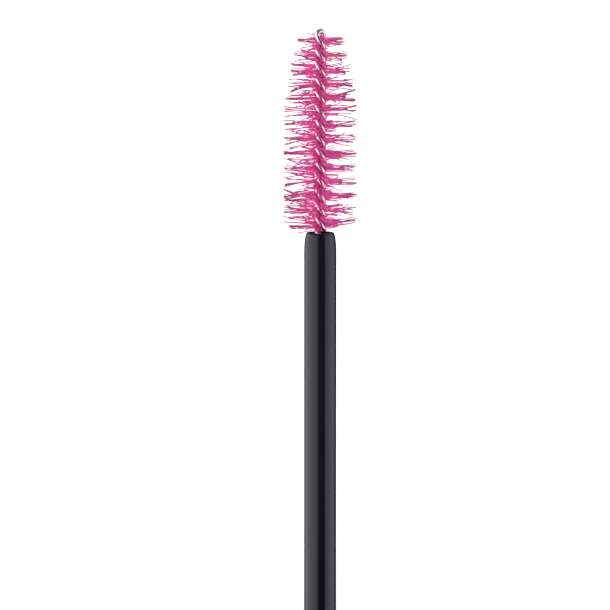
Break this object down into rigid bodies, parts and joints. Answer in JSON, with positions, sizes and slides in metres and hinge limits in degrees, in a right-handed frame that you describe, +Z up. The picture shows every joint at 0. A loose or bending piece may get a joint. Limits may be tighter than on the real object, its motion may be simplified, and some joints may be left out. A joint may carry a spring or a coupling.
{
  "type": "mascara pack",
  "caption": "Screw-cap mascara pack lying open: rod and pink twisted-wire brush on a soft-square black cap, drawn out of a matching bottle with neck, wiper and trim ring.",
  "frame": {"origin": "on the table, under the middle of the opened pack", "axes": "+X along the pack from the cap's closed end to the bottle's base, +Z up from the table"},
  "size_m": [0.2252, 0.019, 0.019],
  "materials": {
    "black_gloss": "high-gloss moulded plastic",
    "black_satin": "satin moulded plastic",
    "vial_black": "blow-moulded satin plastic",
    "pink_metal": "pink anodised, fine brushed",
    "wire_steel": "bright drawn wire",
    "bristle_nylon": "fine pink nylon filament",
    "wiper_white": "soft natural elastomer",
    "washer_white": "foamed sealing liner",
    "label_paper": "blank coated label",
    "mascara_paste": "wet black paste"
  },
  "bodies": {
    "bottle": {"bottle": "vial_black", "bottle_sleeve": "black_gloss", "base_plug": "black_satin", "base_label": "label_paper", "wiper": "wiper_white", "mascara_fill": "mascara_paste"},
    "ring": {"trim_ring": "pink_metal"},
    "washer": {"gasket": "washer_white"},
    "wand": {"cap_shell": "black_gloss", "cap_disc": "pink_metal", "cap_insert": "black_satin", "stem": "black_satin", "wire_core": "wire_steel", "bristles": "bristle_nylon"}
  },
  "joints": [
    {"name": "cap_turn", "type": "hinge", "parent": "bottle", "child": "ring", "pos_m": [0.01753, 0, 0.0095], "axis": [1, 0, 0], "range_deg": [0, 360]},
    {"name": "draw", "type": "slide", "parent": "ring", "child": "washer", "axis": [1, 0, 0], "range_m": [0, 0.0948], "deforming": ["bristles"]},
    {"name": "cap_advance", "type": "slide", "parent": "washer", "child": "wand", "axis": [1, 0, 0], "range_m": [0, 0.003]}
  ],
  "couplings": [
    {"joint": "cap_advance", "follows": "cap_turn", "m_per_rad": 0.00047746}
  ]
}
